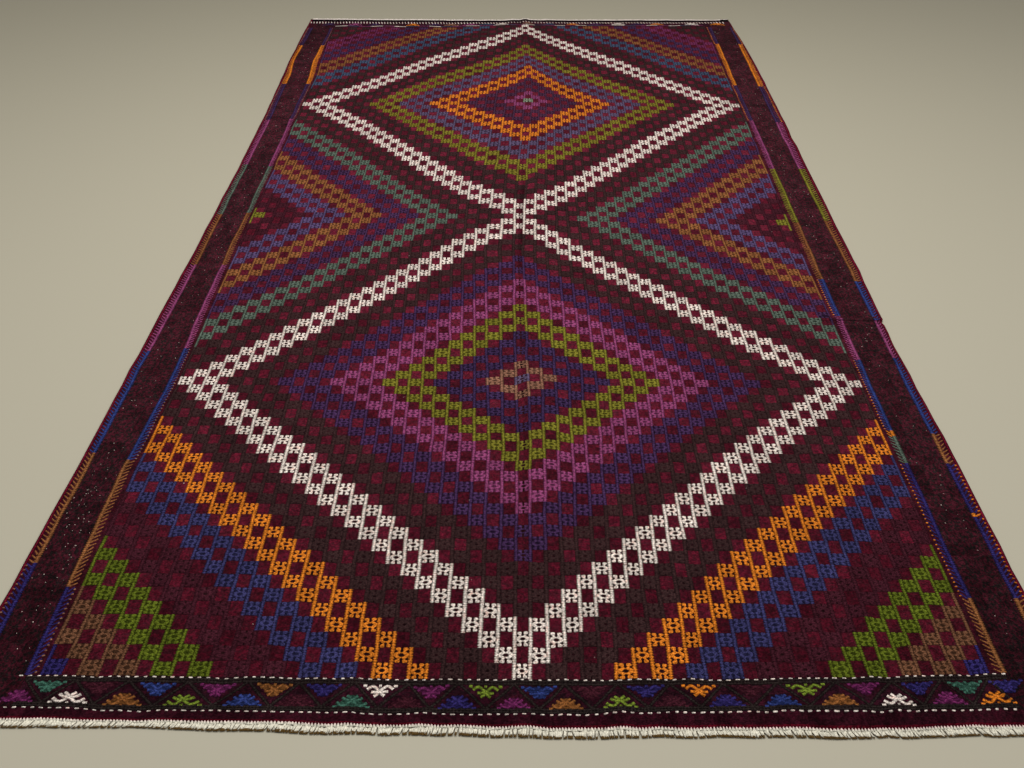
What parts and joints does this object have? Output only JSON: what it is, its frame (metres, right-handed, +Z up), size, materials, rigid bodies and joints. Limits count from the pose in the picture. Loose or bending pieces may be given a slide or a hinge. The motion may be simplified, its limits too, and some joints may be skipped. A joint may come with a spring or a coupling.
{
  "type": "kilim rug",
  "caption": "Long flat-woven kilim rug with diamond lattices of small hooked cells, striped side borders, a zigzag end band and a short cut warp fringe at each end.",
  "frame": {"origin": "centre of the bounding box, on the floor plane that the underside rests on", "axes": "+X across the rug to the right as pictured, +Y along the rug from the near end to the far end, +Z up out of its face"},
  "size_m": [1.673, 3.306, 0.006],
  "materials": {
    "maroon_wool": "matt hand-woven wool with yarns of many colours wrapped over a dark red ground",
    "natural_warp": "undyed off-white warp yarn, cut short"
  },
  "bodies": {
    "root": {"kilim_cloth": "maroon_wool", "fringe_near": "natural_warp", "fringe_far": "natural_warp"}
  },
  "joints": []
}
